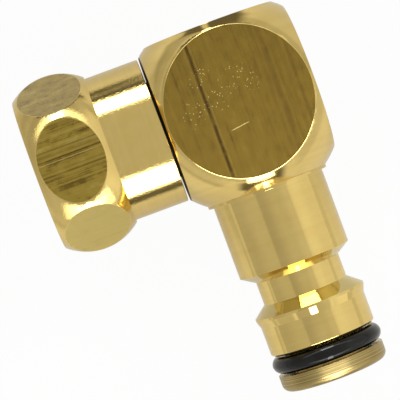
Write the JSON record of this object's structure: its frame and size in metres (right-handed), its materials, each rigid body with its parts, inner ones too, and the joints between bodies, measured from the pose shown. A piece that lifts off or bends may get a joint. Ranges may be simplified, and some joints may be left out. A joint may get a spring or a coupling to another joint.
{
  "type": "swivel hose connector",
  "caption": "Brass 90 degree elbow that joins a quick-connect hose nipple with a locking ridge and O-ring to a free-turning hexagon nut with a female pipe thread.",
  "frame": {"origin": "on the nipple's axis at its root, in the plane of the block's foot face; the two waterways cross 13.4 mm from it along +Y", "axes": "-Y along the nipple towards its tip, -X along the nut towards its mouth, +Z out of the block's upper flat side; the part lies on its back"},
  "size_m": [0.0423, 0.0562, 0.0242],
  "materials": {
    "brass": "turned, with drawn flats left as stock",
    "seal_rubber": "smooth, slightly glossy",
    "thrust_plastic": "matte"
  },
  "bodies": {
    "elbow": {"elbow_body": "brass", "outlet_o_ring": "seal_rubber", "swivel_stem": "brass", "stem_o_ring_front": "seal_rubber", "stem_o_ring_rear": "seal_rubber", "thrust_washer": "thrust_plastic", "inlet_washer": "seal_rubber"},
    "nut": {"swivel_nut": "brass"}
  },
  "joints": [
    {"name": "nut_swivel", "type": "hinge", "parent": "elbow", "child": "nut", "pos_m": [-0.0254, 0.0134, 0], "axis": [1, 0, 0], "continuous": true}
  ]
}
